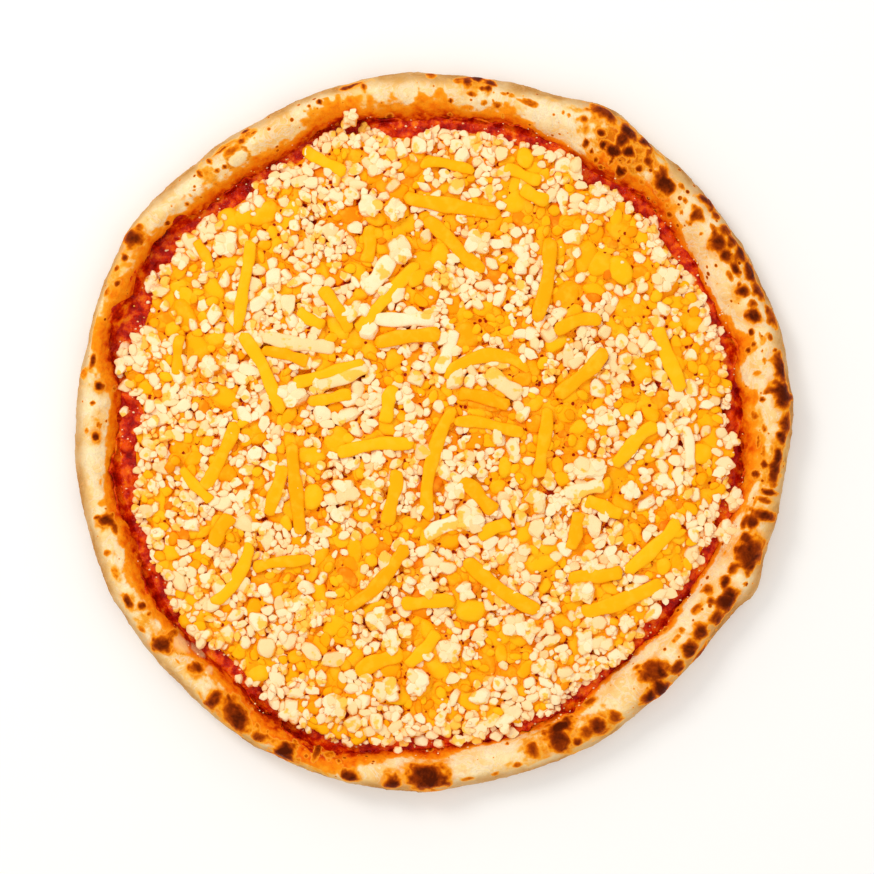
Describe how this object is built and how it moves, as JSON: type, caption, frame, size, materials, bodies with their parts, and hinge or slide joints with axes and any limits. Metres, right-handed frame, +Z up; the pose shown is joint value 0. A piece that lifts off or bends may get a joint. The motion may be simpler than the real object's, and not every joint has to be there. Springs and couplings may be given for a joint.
{
  "type": "cheese pizza",
  "caption": "Whole baked cheese pizza: puffed, blistered dough rim round a thin base, tomato sauce and a heap of white and orange grated cheese.",
  "frame": {"origin": "centre of the flat underside", "axes": "+Z up through the pizza, +Y towards the top of the picture, +X towards its right"},
  "size_m": [0.3008, 0.3008, 0.0214],
  "materials": {
    "baked_dough": "cream, floury baked dough with brown and black blisters",
    "tomato_sauce": "wet, lumpy, deep red tomato sauce",
    "cheese": "softened crumbs of white cheese and shreds of orange cheese, slightly greasy"
  },
  "bodies": {
    "root": {"dough_crust": "baked_dough", "tomato_sauce": "tomato_sauce", "grated_cheese": "cheese"}
  },
  "joints": []
}
